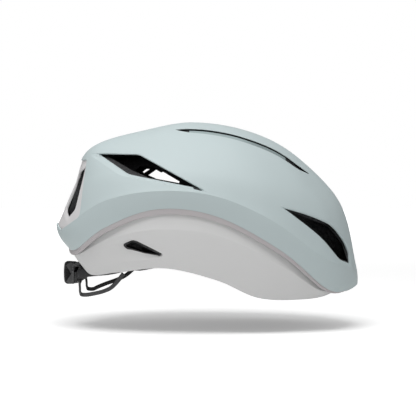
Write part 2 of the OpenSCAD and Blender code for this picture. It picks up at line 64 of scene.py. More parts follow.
camera.location = (
    0,
    -view_distance * math.cos(view_rise),
    view_height + view_distance * math.sin(view_rise),
)
camera.rotation_euler = (math.pi / 2 - view_rise, 0, 0)
bpy.context.scene.camera = camera
bpy.context.scene.view_settings.view_transform = "Standard"


# Upper shell: a thin skin of moulded polycarbonate with a matt pale teal finish, formed from the
# crown down to a sharp crease, under which a band turns in to the lower edge. Vents and two long
# slots are cut through it.
class Shader:
    """Builds one material's nodes. Numbers, colours and links all come in through put()."""

    def __init__(self, name):
        self.material = bpy.data.materials.new(name)
        self.material.use_nodes = True
        self.tree = self.material.node_tree
        self.surface = self.tree.nodes["Principled BSDF"]
        self.place = self.node("ShaderNodeTexCoord").outputs["Object"]

    def node(self, kind, settings=None, **inputs):
        made = self.tree.nodes.new(kind)
        for name, value in (settings or {}).items():
            setattr(made, name, value)
        for name, value in inputs.items():
            self.put(made.inputs[name.replace("_", " ")], value)
        return made

    def put(self, socket, value):
        if isinstance(value, Value):
            value = value.output
        if isinstance(value, bpy.types.NodeSocket):
            self.tree.links.new(value, socket)
        elif isinstance(value, tuple) and len(value) == 3 and socket.type == "RGBA":
            socket.default_value = (*value, 1)
        else:
            socket.default_value = value

    def value(self, output):
        return Value(self, output)

    def noise(self, scale, detail=2.0):
        made = self.node("ShaderNodeTexNoise", Vector=self.place, Scale=scale, Detail=detail)
        return self.value(made.outputs["Fac"])

    def cells(self, scale, feature="F1"):
        made = self.node(
            "ShaderNodeTexVoronoi", {"feature": feature}, Vector=self.place, Scale=scale
        )
        return self.value(made.outputs["Distance"])

    def axis(self, letter, at=None):
        split = self.node("ShaderNodeSeparateXYZ", Vector=at or self.place)
        return self.value(split.outputs[letter])

    def blend(self, factor, first, second):
        """Mixes two colours. The node has its colour sockets after those for other kinds."""
        made = self.node("ShaderNodeMix", {"data_type": "RGBA"})
        first_colour, second_colour, result = made.inputs[6], made.inputs[7], made.outputs[2]
        self.put(made.inputs["Factor"], factor)
        self.put(first_colour, first)
        self.put(second_colour, second)
        return result

    def bump(self, height, strength, distance):
        made = self.node("ShaderNodeBump", Height=height, Strength=strength, Distance=distance)
        self.put(self.surface.inputs["Normal"], made.outputs["Normal"])

    def finish(self, **inputs):
        for name, value in inputs.items():
            self.put(self.surface.inputs[name.replace("_", " ")], value)


class Value:
    """A number that varies over the surface, with the usual arithmetic."""

    def __init__(self, shader, output):
        self.shader = shader
        self.output = output

    def math(self, operation, *others):
        made = self.shader.node("ShaderNodeMath", {"operation": operation})
        for socket, value in zip(made.inputs, (self, *others)):
            self.shader.put(socket, value)
        return Value(self.shader, made.outputs[0])

    def __add__(self, other):
        return self.math("ADD", other)

    def __sub__(self, other):
        return self.math("SUBTRACT", other)

    def __mul__(self, other):
        return self.math("MULTIPLY", other)

    def __rsub__(self, other):
        return (self * -1).math("ADD", other)

    __radd__ = __add__
    __rmul__ = __mul__

    def step(self, low, high):
        """0 below low, 1 above high, smooth between them."""
        made = self.shader.node(
            "ShaderNodeMapRange",
            {"interpolation_type": "SMOOTHSTEP"},
            Value=self,
            From_Min=low,
            From_Max=high,
        )
        return Value(self.shader, made.outputs["Result"])


# Each ring has nine stations, from the front round the left half to the rear. The right half
# mirrors them.
crown = Vector((-12, 0, 163))
brow_ring = [(42, 0, 153.5), (34, 17, 153.5), (22, 28, 154), (7, 34, 155), (-9, 37, 156),
             (-27, 37, 156.5), (-43, 33, 156), (-56, 21, 155.5), (-62, 0, 154.5)]
slope_ring = [(85, 0, 130), (73, 34, 128), (53, 54, 129), (27, 65, 134), (-2, 69, 137),
              (-36, 67, 138.5), (-74, 57, 138), (-104, 39, 139), (-112, 0, 136)]
side_ring = [(122, 0, 88), (108, 44, 85), (84, 69, 91), (45, 85, 106), (2, 91, 115),
             (-42, 90, 118), (-86, 77, 115), (-118, 48, 106), (-127, 0, 104)]
crease_ring = [(140.5, 0, 27), (129, 42, 28), (102, 72, 39.5), (57, 93, 72), (6, 101, 94),
               (-45, 101, 98.3), (-92, 87, 89.5), (-129, 54, 67.5), (-143.5, 0, 67)]
edge_ring = [(142, 0, 10.5), (128, 38, 6.5), (107, 60, 10.5), (66, 85.5, 45), (8, 96, 76),
             (-45, 96, 82.5), (-92, 83, 66), (-121, 55, 45), (-132, 0, 47)]
stations = 16
per_station = 16
around = stations * per_station
rows_per_ring = 12
rows_in_band = 10


def spline(a, b, c, d, t):
    """A point on the smooth line from b to c, which comes from a and goes on to d."""
    return 0.5 * (
        2 * b + (c - a) * t + (2 * a - 5 * b + 4 * c - d) * t * t + (3 * b - a - 3 * c + d) * t ** 3
    )


def station(ring, j):
    k = j % stations
    x, y, z = ring[min(k, stations - k)]
    return Vector((x, y if k <= stations // 2 else -y, z))


def loop(ring):
    """The ring as a smooth closed line."""
    return [
        spline(*(station(ring, j + m) for m in (-1, 0, 1, 2)), i / per_station)
        for j in range(stations)
        for i in range(per_station)
    ]


def dome_rows(top, rings):
    """Rows of a smooth dome that passes through the rings, the tip first."""
    n = len(rings[0])
    opposite = rings[0][n // 2:] + rings[0][:n // 2]
    rows = [[top] * n]
    for k, ring in enumerate(rings):
        for m in range(1, rows_per_ring + 1):
            row = []
            for i in range(n):
                if k == 0:
                    a, b = opposite[i], top
                else:
                    a, b = rings[k - 2][i] if k > 1 else top, rings[k - 1][i]
                d = rings[k + 1][i] if k + 1 < len(rings) else 2 * ring[i] - b
                row.append(spline(a, b, ring[i], d, m / rows_per_ring))
            rows.append(row)
    return rows


def lofted(rows, closed=True):
    """A surface through rows of points, from a grid whose points are set row by row."""
    n = len(rows[0]) + (1 if closed else 0)
    bm = bmesh.new()
    bmesh.ops.create_grid(bm, x_segments=n - 1, y_segments=len(rows) - 1, size=0.5)
    for v in bm.verts:
        i = round((v.co.x + 0.5) * (n - 1))
        k = round((v.co.y + 0.5) * (len(rows) - 1))
        v.co = rows[k][i % len(rows[0])]
    bmesh.ops.remove_doubles(bm, verts=bm.verts, dist=0.001)
    bm.normal_update()
    return bm


def face_out(bm):
    """Turns an open skin so that most of its faces look away from the helmet's middle."""
    middle = Vector((0, 0, 60))
    facing = sum(
        f.normal.dot(f.calc_center_median() - middle) * f.calc_area() for f in bm.faces
    )
    if facing < 0:
        bmesh.ops.reverse_faces(bm, faces=bm.faces)
    bm.normal_update()


def rounded(outline, radius, steps=5):
    """The outline's corners turned into arcs. The radius is one number, or one per corner."""
    made = []
    n = len(outline)
    most = 0.45
    for k in range(n):
        r = radius[k] if isinstance(radius, list) else radius
        before, corner, after = (Vector(outline[(k + m) % n]) for m in (-1, 0, 1))
        back, on = before - corner, after - corner
        reach = min(r, most * back.length, most * on.length)
        start, end = corner + back.normalized() * reach, corner + on.normalized() * reach
        for m in range(steps + 1):
            t = m / steps
            made.append(start * (1 - t) ** 2 + corner * 2 * t * (1 - t) + end * t * t)
    return made


def grown(outline, amounts):
    """The outline with each side, from its corner to the next, moved outwards."""
    n = len(outline)
    points = [Vector(p) for p in outline]
    area = sum(points[k].cross(points[(k + 1) % n]) for k in range(n))
    lines = []
    for k in range(n):
        d = (points[(k + 1) % n] - points[k]).normalized()
        out = Vector((d.y, -d.x)) * (1 if area > 0 else -1)
        lines.append((points[k] + out * amounts[k], d))
    made = []
    for k in range(n):
        (p, d), (q, e) = lines[k - 1], lines[k]
        turn = d.cross(e)
        straight_on = abs(turn) < 1e-3
        made.append(q if straight_on else p + d * ((q - p).cross(e) / turn))
    return made


def side_on(co):
    return Vector((co.x, co.z))


def from_above(co):
    return Vector((co.x, co.y))


def inside(point, outline):
    hit = False
    for k in range(len(outline)):
        a, b = outline[k - 1], outline[k]
        if (a.y > point.y) != (b.y > point.y):
            if point.x < a.x + (b.x - a.x) * (point.y - a.y) / (b.y - a.y):
                hit = not hit
    return hit


def distance_to(point, outline):
    best = 1e9
    for k in range(len(outline)):
        a, b = outline[k - 1], outline[k]
        d = b - a
        t = max(0, min(1, (point - a).dot(d) / max(d.length_squared, 1e-9)))
        best = min(best, (a + d * t - point).length)
    return best


def score(bm, outline, view, keep):
    """Cuts the skin's faces along an outline drawn in one view."""
    n = len(outline)
    margin = 6
    low = Vector((min(p.x for p in outline) - margin, min(p.y for p in outline) - margin))
    high = Vector((max(p.x for p in outline) + margin, max(p.y for p in outline) + margin))
    for k in range(n):
        p, q = outline[k], outline[(k + 1) % n]
        if (q - p).length < 1e-4:
            continue
        near = []
        for f in bm.faces:
            c = view(f.calc_center_median())
            if not (low.x < c.x < high.x and low.y < c.y < high.y and keep(f)):
                continue
            spots = [view(v.co) for v in f.verts]
            if all(
                max(s[m] for s in spots) >= min(p[m], q[m]) - 0.01
                and min(s[m] for s in spots) <= max(p[m], q[m]) + 0.01
                for m in (0, 1)
            ):
                near.append(f)
        d = (q - p).normalized()
        if view is side_on:
            spot, normal = Vector((p.x, 0, p.y)), Vector((-d.y, 0, d.x))
        else:
            spot, normal = Vector((p.x, p.y, 0)), Vector((-d.y, d.x, 0))
        edges = {e for f in near for e in f.edges}
        verts = {v for f in near for v in f.verts}
        bmesh.ops.bisect_plane(
            bm, geom=[*near, *edges, *verts], dist=0.01, plane_co=spot, plane_no=normal
        )
    bm.normal_update()


def open_up(bm, outline, view, keep, outside=False):
    """Cuts along an outline and takes away the skin inside it, or outside it."""
    score(bm, outline, view, keep)
    gone = [
        f
        for f in bm.faces
        if keep(f) and inside(view(f.calc_center_median()), outline) != outside
    ]
    bmesh.ops.delete(bm, geom=gone, context="FACES")
    bm.normal_update()


def cut_vent(bm, side, hole, slope, depth):
    """Opens a vent in one flank. The skin slopes down to the hole from the line round it."""

    def keep(f):
        return f.calc_center_median().y * side > 8

    score(bm, slope, side_on, keep)
    score(bm, hole, side_on, keep)
    moved = {}
    for v in {v for f in bm.faces if keep(f) for v in f.verts}:
        p = side_on(v.co)
        if inside(p, slope):
            far = distance_to(p, slope)
            near = 0 if inside(p, hole) else distance_to(p, hole)
            moved[v] = v.co - v.normal * depth * far / max(far + near, 1e-6)
    for v, co in moved.items():
        v.co = co
    bm.normal_update()
    open_up(bm, hole, side_on, keep)


def roll_edge(bm, edges, steps):
    """Turns an open edge over through steps of (outwards, downwards) from where it was."""
    edges = list(edges)
    out = {v: Vector() for e in edges for v in e.verts}
    down = {v: -v.normal for v in out}
    for e in edges:
        f = e.link_faces[0]
        a, b = e.verts
        t = (b.co - a.co).cross(f.normal)
        if t.dot((a.co + b.co) / 2 - f.calc_center_median()) < 0:
            t.negate()
        out[a] += t
        out[b] += t
    base = {v: (v.co.copy(), out[v].normalized(), down[v]) for v in out}
    for away, deep in steps:
        made = bmesh.ops.extrude_edge_only(bm, edges=edges)["geom"]
        fresh = {g for g in made if isinstance(g, bmesh.types.BMVert)}
        edges = [g for g in made if isinstance(g, bmesh.types.BMEdge) and set(g.verts) <= fresh]
        nearby = {}
        for v in fresh:
            old = next(e.other_vert(v) for e in v.link_edges if e.other_vert(v) in base)
            co, outwards, downwards = nearby[v] = base[old]
            v.co = co + outwards * away + downwards * deep
        base = nearby
    bm.normal_update()


def open_edges(bm):
    return [e for e in bm.edges if len(e.link_faces) == 1]


def finish_piece(bm, name, body, material, nodes, sharp=24):
    """Makes the mesh an object in metres, with its creases, finish and body."""
    bmesh.ops.dissolve_degenerate(bm, edges=bm.edges, dist=0.002)
    bmesh.ops.scale(bm, verts=bm.verts, vec=(0.001, 0.001, 0.001))
    bm.normal_update()
    for f in bm.faces:
        f.smooth = True
    limit = math.radians(sharp)
    for e in bm.edges:
        if len(e.link_faces) == 2 and e.calc_face_angle(0) > limit:
            e.smooth = False
    mesh = bpy.data.meshes.new(name)
    bm.to_mesh(mesh)
    bm.free()
    piece = bpy.data.objects.new(name, mesh)
    bpy.context.collection.objects.link(piece)
    mesh.materials.append(material)
    if body:
        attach(piece, body)
    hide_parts(*nodes)
    return piece


# The band swells a little between its edges, most at the rear, and so does the dome's front.
band_swell, rear_swell, front_swell = 0.7, 2.4, 2.6
front_low, front_high = 27, 125
rear_from, front_from, growth_length = 105, 92, 25


def part_way(value, start, length):
    """0 up to the start, 1 from the end of the length, even between them."""
    return min(max((value - start) / length, 0), 1)


def outward(p, across=1.6):
    """The level direction away from the head. Across turns it towards the flanks."""
    return Vector((p.x, p.y * across, 0)).normalized()


def skin_rows():
    rings = [loop(ring) for ring in (brow_ring, slope_ring, side_ring, crease_ring)]
    rows = dome_rows(crown, rings)
    for row in rows:
        for p in row:
            if front_low < p.z < front_high:
                rise = math.sin(math.pi * (p.z - front_low) / (front_high - front_low))
                rise *= part_way(p.x, front_from, growth_length)
                p += outward(p, 1) * front_swell * rise
    crease, edge = rings[-1], loop(edge_ring)
    for m in range(1, rows_in_band + 1):
        row = [a.lerp(b, m / rows_in_band) for a, b in zip(crease, edge)]
        for p in row:
            swell = band_swell + rear_swell * part_way(-p.x, rear_from, growth_length)
            p += outward(p) * swell * math.sin(math.pi * m / rows_in_band)
        rows.append(row)
    return rows


def shell_at(depth):
    """The outer skin, or one at a depth below it."""
    bm = lofted(skin_rows())
    face_out(bm)
    for v in bm.verts:
        v.co -= v.normal * depth
    bm.normal_update()
    return bm


def matt_shell(name, light, shade, speckle):
    """Matt paint: a fine even grain with a very slight drift in tone."""
    s = Shader(name)
    drift = s.noise(9, 2)
    grain = s.noise(2600, 2)
    tone = s.blend(drift.step(0.3, 0.7), light, shade)
    dark_grain = tuple(c * 0.92 for c in light)
    s.bump(grain, 0.12, 0.0002)
    s.finish(
        Base_Color=s.blend(grain.step(0.35, 0.8) * speckle, tone, dark_grain),
        Roughness=grain * 0.1 + 0.5,
        Specular_IOR_Level=0.3,
    )
    return s.material


# Each vent has its outline seen from the side, how far the slope round it reaches past each side
# of that outline, and how deep the slope goes. A slot has points along its middle, each with half
# its width there.
side_vent = [(-100, 132), (-62, 131), (-5, 99.5), (-14.6, 101.8), (-70.6, 113)]
side_slope, side_depth = [0.7, 0.7, 1.2, 2.2, 5], 2.0
front_vent = [(66.5, 83.5), (90, 77), (113.5, 67), (126.5, 51), (131.5, 40), (131.5, 30.5),
              (120, 35.5), (104, 54.5), (90, 66)]
front_slope, front_depth = [0.9, 1, 1, 1.2, 2, 2.6, 1.8, 1, 0.9], 1.0
rear_cut = [(-110.9, 127.4), (-115.5, 75), (-136, 61.6), (-160, 81.5), (-160, 127.4)]
rear_corners = [2, 4, 1.5, 3, 3]
slot_line = [(-30, 41.9, 0.3), (-17, 43.6, 3.8), (11, 43.1, 5), (40, 40.6, 4.9), (70, 35.5, 4.8),
             (82, 33.4, 4), (88, 30.2, 2.5), (95, 25.5, 0.3)]
top_low = 110
lip = [(0.15, 0.04), (0.32, 0.16), (0.42, 0.36), (0.45, 1.5)]
fine_lip = [(0.05, 0.03), (0.08, 0.4)]


def stretches(points):
    """The four points that shape each stretch of a smooth line, the ends taken twice."""
    last = len(points) - 1
    for k in range(last):
        yield tuple(Vector(points[min(max(k + m, 0), last)]) for m in (-1, 0, 1, 2))


def slot_outline(side):
    near, far = [], []
    for four in stretches(slot_line):
        for m in range(5):
            p = spline(*four, m / 5)
            near.append(Vector((p.x, side * (p.y - p.z))))
            far.append(Vector((p.x, side * (p.y + p.z))))
    return near + far[::-1]


def on_top(f):
    return f.calc_center_median().z > top_low


def anywhere(f):
    return True


def by_slot(e):
    return all(v.co.z > top_low and abs(v.co.y) < 54 and v.co.x > -40 for v in e.verts)


teal_matt = matt_shell("teal_matt_shell", (0.492, 0.567, 0.574), (0.478, 0.553, 0.561), 0.2)
bm = shell_at(0)
for side in (-1, 1):
    hole = rounded(side_vent, [0.5, 3, 1, 1, 4])
    slope = rounded(grown(side_vent, side_slope), [3, 4, 1, 3, 6])
    cut_vent(bm, side, hole, slope, side_depth)
    hole = rounded(front_vent, [2.5, 20, 8, 7, 3, 1.5, 4, 12, 20])
    slope = rounded(grown(front_vent, front_slope), [3, 20, 8, 7, 3, 2, 4, 12, 20])
    cut_vent(bm, side, hole, slope, front_depth)
    open_up(bm, slot_outline(side), from_above, on_top)
open_up(bm, rounded(rear_cut, rear_corners), side_on, anywhere)
edges = open_edges(bm)
slot_edges = [e for e in edges if by_slot(e)]
roll_edge(bm, [e for e in edges if not by_slot(e)], lip)
roll_edge(bm, slot_edges, fine_lip)
finish_piece(
    bm, "upper_shell_skin", "helmet", teal_matt, ("upper_shell",), sharp=12
)


# Rear panel: a pale grey moulding let into the tail, a step below the upper shell, with a slender
# vent on each side whose frame slopes in.
panel_step = 1.4
panel_gap = 0.2
rear_vent = [(-112.6, 119.5), (-117.8, 95), (-120.8, 81.5), (-128, 73.6), (-132.6, 80.5),
             (-119.4, 114)]
rear_slope, rear_depth = [0.6, 0.8, 3.6, 3.2, 1.6, 0.6], 1.4
vent_corners = [1, 3, 3, 2, 2, 2]

panel_grey = matt_shell("pale_grey_panel", (0.65, 0.64, 0.645), (0.635, 0.625, 0.63), 0.15)
bm = shell_at(panel_step)
panel_edge = rounded(grown(rear_cut, [-panel_gap] * len(rear_cut)), rear_corners)
open_up(bm, panel_edge, side_on, anywhere, outside=True)
for side in (-1, 1):
    hole = rounded(rear_vent, vent_corners)
    slope = rounded(grown(rear_vent, rear_slope), vent_corners)
    cut_vent(bm, side, hole, slope, rear_depth)
roll_edge(bm, open_edges(bm), lip)
finish_piece(
    bm, "rear_panel_skin", "helmet", panel_grey, ("rear_panel",), sharp=14
)


# Edge trim: a narrow mauve strip clipped along the upper shell's lower edge. It runs out towards
# the front.
tuck_ring = [(131, 0, 21), (117, 35, 16), (98, 56, 19), (61, 79, 53), (6, 90, 83),
             (-44, 90, 89), (-88, 77, 73), (-113, 51, 53), (-123, 0, 54)]
flank_ring = [(132, 0, 14), (118, 37, 8), (100, 60, 9), (63, 83, 33.5), (9, 94.5, 59),
              (-44, 95, 64.5), (-88, 81, 56), (-119, 50, 40.5), (-129.5, 0, 45)]
trim_drop = [0.6, 0.8, 2, 3.4, 4.2, 4.4, 4.4, 4.4, 3.6]

# The strip's section, as shares of the way in under the shell and of the drop.
trim_section = [(0.06, 0), (0.045, 0.2), (0.04, 0.5), (0.05, 0.8), (0.075, 0.96), (0.11, 1),
                (0.2, 1), (0.2, 0), (0.06, 0)]
trim_gap = 0.2
trim_lean = 0.04

edge, tuck, flank = loop(edge_ring), loop(tuck_ring), loop(flank_ring)
rows = []
for inwards, fall in trim_section:
    row = []
    for i in range(around):
        j, f = divmod(i, per_station)
        here, there = (trim_drop[min(k, stations - k)] for k in (j, j + 1))
        drop = here + (there - here) * f / per_station
        p = edge[i].lerp(tuck[i], inwards)
        p.z = edge[i].z - trim_gap
        row.append(p + fall * (trim_lean * (flank[i] - edge[i]) - Vector((0, 0, drop))))
    rows.append(row)
bm = lofted(rows)
bmesh.ops.recalc_face_normals(bm, faces=bm.faces)
trim_mauve = matt_shell("mauve_trim", (0.475, 0.45, 0.458), (0.455, 0.43, 0.438), 0.15)
finish_piece(
    bm, "edge_trim_strip", "helmet", trim_mauve, ("edge_trim",), sharp=40
)


# Slot floors: teal inlays just below the skin that fill most of each long top slot and run under
# its outer edge. They have a fine slanted hatch towards the front.
floor_depth = 1.3
floor_sag = 0.2
inner_gap = 1.5
outer_lap = 0.5
floor_edge = [(0.1, 0.2), (0.1, 1.3)]
skin = shell_at(0)
skin_tree = BVHTree.FromBMesh(skin)
skin.free()


def skin_height(x, y):
    return skin_tree.ray_cast(Vector((x, y, 300)), Vector((0, 0, -1)))[0].z


s = Shader("hatched_slot_floor")
lean = s.axis("X") * 0.7 + s.axis("Y").math("ABSOLUTE") - s.axis("Z") * 0.9
hatch = (lean * 3300).math("SINE").step(0.1, 0.7) * s.axis("X").step(0.028, 0.046)
s.bump(hatch * -1, 0.6, 0.0004)
tone = s.blend(hatch * 0.85, (0.30, 0.37, 0.375), (0.10, 0.13, 0.132))
s.finish(Base_Color=tone, Roughness=s.noise(1500) * 0.1 + 0.5)
# The floor leaves out the narrow ends of the slot.
slot_middle = [spline(*four, m / 12) for four in stretches(slot_line) for m in range(12)]
floor_line = slot_middle[12:50]
for side, name in ((1, "left"), (-1, "right")):
    columns = []
    for t in (0, 0.2, 0.4, 0.6, 0.8, 1):
        column = []
        for x, y, w in floor_line:
            low, high = y - w + inner_gap * min(1, w / 4), y + w + outer_lap
            wide = side * (low + (high - low) * t)
            sag = floor_sag * math.sin(math.pi * t)
            column.append(Vector((x, wide, skin_height(x, wide) - floor_depth - sag)))
        columns.append(column)
    bm = lofted(columns, closed=False)
    face_out(bm)
    roll_edge(bm, open_edges(bm), floor_edge)
    finish_piece(
        bm, f"slot_inlay_{name}", "helmet", s.material, (f"slot_floor_{name}",)
    )


# Lower shell: the pale grey-white skin of the liner's wall. It swells below its top edge, has a
# soft crease under that, turns under at the rim, and dips round a small vent on each side.
rim_ring = [(124, 0, 11), (112, 37, 3), (88, 60, 0.1), (46, 77, 2.6), (8, 85, 19),
            (-38, 86, 29.8), (-82, 71, 25.2), (-109, 46, 22.3), (-122, 0, 39)]
low_vent = [(-76, 50), (-68, 54), (-64.6, 53.6), (-41.4, 42.4), (-42.6, 40.6), (-56.7, 43),
            (-74, 47.6)]
low_dimple = [(-97, 46), (-69, 55.6), (-63.5, 54.8), (-40, 42.6), (-40.5, 40.0), (-60, 36.5),
              (-94, 33)]
dimple_depth = 2.8
top_swell, swell_growth = 2.2, 5
wall_bulge = 0.9
above_crease = [0, 0.02, 0.06, 0.12, 0.2, 0.32, 0.45, 0.6, 0.75, 0.88, 0.97]
below_crease = [0.012, 0.03, 0.06, 0.1, 0.15, 0.2, 0.26, 0.32, 0.38, 0.44, 0.5, 0.56, 0.62, 0.68,
                0.74, 0.8, 0.86, 0.91, 0.95, 0.98, 1]

rim = loop(rim_ring)
rows = []
for t in above_crease:
    swell = top_swell + swell_growth * t ** 0.5
    rows.append([a.lerp(b, t) + outward(b) * swell * (1 - t) ** 2 for a, b in zip(tuck, flank)])
for t in below_crease:
    bulge = wall_bulge * math.sin(math.pi * t)
    row = [a.lerp(b, t) for a, b in zip(flank, rim)]
    rows.append([p + outward(p) * bulge for p in row])
bm = lofted(rows)
face_out(bm)
for side in (-1, 1):
    hole = rounded(low_vent, [1.6, 2, 2, 0.9, 0.9, 2, 1.6])
    dimple = rounded(low_dimple, [14, 6, 4, 1, 1, 9, 14])
    cut_vent(bm, side, hole, dimple, dimple_depth)
roll_edge(bm, open_edges(bm), lip)
shell_white = matt_shell("pale_lower_shell", (0.645, 0.645, 0.643), (0.635, 0.635, 0.633), 0.12)
finish_piece(
    bm, "lower_shell_skin", "helmet", shell_white, ("lower_shell",), sharp=13
)


# Foam liner: moulded black bead foam in two pieces. The outer one is bonded inside the upper shell
# and carries the vents, with a sloping floor inside each side vent's lower rear edge. The inner
# one holds the head space and its air channels.
def soften(bm, radius, angle):
    """Rounds the edges at which the surface turns by more than the angle."""
    corners = [e for e in bm.edges if len(e.link_faces) == 2 and e.calc_face_angle(0) > angle]
    bmesh.ops.bevel(
        bm, geom=corners, offset=radius, segments=2, affect="EDGES", profile=0.5, material=-1,
        clamp_overlap=True,
    )


def moulded_copy(node, edge=0.0, sharp=30):
    """The node's own shape in millimetres, merged, with its sharp edges rounded."""
    flat = math.radians(2)
    bm = bmesh.new()
    bm.from_mesh(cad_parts[node].data)
    bmesh.ops.scale(bm, verts=bm.verts, vec=(1000, 1000, 1000))
    bmesh.ops.remove_doubles(bm, verts=bm.verts, dist=0.004)
    bm.normal_update()
    if edge:
        bmesh.ops.dissolve_limit(
            bm, angle_limit=flat, verts=bm.verts, edges=bm.edges, delimit={"NORMAL"}
        )
        soften(bm, edge, math.radians(sharp))
        bm.normal_update()
    return bm


s = Shader("black_bead_foam")
beads = s.cells(260)
seams = s.cells(260, "DISTANCE_TO_EDGE").step(0.0, 0.12)
tone = s.blend(seams, (0.012, 0.012, 0.013), (0.032, 0.032, 0.034))
tone = s.blend(s.noise(60, 3).step(0.35, 0.75) * 0.5, tone, (0.036, 0.036, 0.038))
s.bump(seams * 0.6 - beads * 0.8, 0.45, 0.0006)
s.finish(Base_Color=tone, Roughness=beads * 0.2 + 0.55, Specular_IOR_Level=0.35)
bead_foam = s.material


# The sloping floor runs between two lines of three points, drawn in the side view. It starts at
# one depth below the skin along the lower line, and each point of the upper one has its own fall.
ramp_low = [(-98, 130.6), (-70.8, 113), (-54, 109.6)]
ramp_high = [(-93, 131), (-68.4, 117), (-53, 110.4)]
ramp_start = 4.4
ramp_fall = [3, 6, 1]


def add_ramp(bm, side):
    low, high = [Vector(p) for p in ramp_low], [Vector(p) for p in ramp_high]
    rows = []
    for m in range(7):
        row = []
        for i in range(25):
            k, t = (0, i / 16) if i < 16 else (1, (i - 16) / 8)
            a, b = low[k].lerp(low[k + 1], t), high[k].lerp(high[k + 1], t)
            p = a.lerp(b, m / 6)
            skin = skin_tree.ray_cast(Vector((p.x, side * 300, p.y)), Vector((0, -side, 0)))[0]
            fall = ramp_fall[k] + (ramp_fall[k + 1] - ramp_fall[k]) * t
            deep = ramp_start + m / 6 * fall
            row.append(Vector((p.x, skin.y - side * deep, p.y)))
        rows.append(row)
    ramp = lofted(rows, closed=False)
    if side > 0:
        bmesh.ops.reverse_faces(ramp, faces=ramp.faces)
    mesh = bpy.data.meshes.new("ramp")
    ramp.to_mesh(mesh)
    ramp.free()
    bm.from_mesh(mesh)
    bpy.data.meshes.remove(mesh)


for name in ("outer_foam", "inner_foam"):
    bm = moulded_copy(name)
    if name == "outer_foam":
        add_ramp(bm, 1)
        add_ramp(bm, -1)
    finish_piece(
        bm, f"{name}_moulding", "helmet", bead_foam, (name,), sharp=28
    )


# Temple anchors: two moulded discs of black nylon, let into the foam. Each has a pin that a fit
# band turns on.
def moulded_plastic(name, colour, rough=0.42, grain=1980, strength=0.1):
    """Moulded nylon: a fine spark-eroded grain and slightly uneven gloss."""
    s = Shader(name)
    fine = s.noise(grain, 3)
    drift = s.noise(40, 2).step(0.3, 0.7)
    s.bump(fine, strength, 0.0002)
    s.finish(
        Base_Color=s.blend(drift, colour, tuple(c * 0.86 for c in colour)),
        Roughness=fine * 0.14 + (rough - 0.07),
        Specular_IOR_Level=0.45,
    )
    return s.material


plastic_black = moulded_plastic("black_nylon", (0.018, 0.018, 0.019))
for side in ("left", "right"):
    finish_piece(
        moulded_copy(f"temple_anchor_{side}", 0.35), f"temple_disc_{side}", "helmet",
        plastic_black, (f"temple_anchor_{side}",), sharp=32,
    )


# Fit bands: flexible strips of dark grey nylon. They turn on the temple pins, run back round the
# head, a little raised behind the temples, and end in the racks. They belong to no body.
band_rise = 2.2
band_grey = moulded_plastic("dark_grey_band", (0.028, 0.028, 0.03), 0.5)
for side in ("left", "right"):
    bm = moulded_copy(f"band_{side}", 0.25, 40)
    for v in bm.verts:
        v.co.z += band_rise * min(part_way(v.co.x, -117, 6), part_way(-v.co.x, 62, 10))
    band = finish_piece(
        bm, f"fit_band_{side}", None, band_grey, (f"band_{side}",), sharp=35
    )
    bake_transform(band)


# Racks and pinion: dark acetal, which runs dry. The racks lie above and below the pinion, so one
# turn of it moves both outwards.
acetal = moulded_plastic("dark_acetal", (0.03, 0.03, 0.031), 0.35)
for side in ("left", "right"):
    finish_piece(
        moulded_copy(f"rack_{side}", 0.12), f"rack_bar_{side}", f"rack_{side}", acetal,
        (f"rack_{side}",),
    )
finish_piece(moulded_copy("pinion", 0.1), "pinion_gear", "dial", acetal, ("pinion",))


# Dial housing: a dark grey nylon case that clips together round the racks and pinion. Its cover
# has a folded guard on each side of the dial, with a notch that the thumb reaches through.
dial = Vector((-121.5, 0, 20.6))
guard = [(-4, 9), (-5, 9.9), (-8.9, 10.2), (-12.1, 7.4), (-7.1, -0.4), (-12.1, -8), (-8.9, -9.9),
         (-5, -9.6), (-4, -8.4)]
guard_corners = [0.5, 1, 3, 1, 1.2, 1, 3, 1, 0.5]
guard_inside, guard_thickness = 11.5, 1.5
fold_at = Vector((dial.x - 8.2, 0, dial.z - 0.8))
fold_tilt = 0.03
fold_height, fold_fall = 0.55, 0.12

dial_grey = moulded_plastic("grey_dial_case", (0.095, 0.095, 0.097), 0.45)
finish_piece(
    moulded_copy("housing", 0.4), "dial_housing", "cradle", dial_grey, ("housing",),
    sharp=32,
)
# The solid's plain guards make way for the folded ones.
bm = moulded_copy("housing_cover")
plain_guards_from = dial.x - 4.95
for f in list(bm.faces):
    if f.calc_center_median().x < plain_guards_from:
        bm.faces.remove(f)
bmesh.ops.delete(bm, geom=[v for v in bm.verts if not v.link_faces], context="VERTS")
for side in (-1, 1):
    outline = rounded(guard, guard_corners, 4)
    corners = [bm.verts.new((dial.x + p.x, side * guard_inside, dial.z + p.y)) for p in outline]
    plate = bm.faces.new(corners)
    made = bmesh.ops.extrude_face_region(bm, geom=[plate])["geom"]
    outer = [v for v in made if isinstance(v, bmesh.types.BMVert)]
    bmesh.ops.translate(bm, verts=outer, vec=(0, side * guard_thickness, 0))
    whole = {*corners, *outer}
    faces = [f for f in bm.faces if set(f.verts) <= whole]
    edges = {e for f in faces for e in f.edges}
    bmesh.ops.bisect_plane(
        bm, geom=[*whole, *edges, *faces], dist=0.02, plane_no=(fold_tilt, 0, 1),
        plane_co=fold_at,
    )
    guard_outside = side * (guard_inside + guard_thickness)
    for v in bm.verts:
        if abs(v.co.y - guard_outside) < 0.05 and v.co.x < dial.x - 3:
            from_fold = abs(v.co.z - fold_at.z + fold_tilt * (v.co.x - fold_at.x))
            v.co.y += side * (fold_height - fold_fall * from_fold)
bmesh.ops.recalc_face_normals(bm, faces=bm.faces)
soften(bm, 0.35, 1.0)
finish_piece(
    bm, "dial_cover", "cradle", dial_grey, ("housing_cover",), sharp=9
)


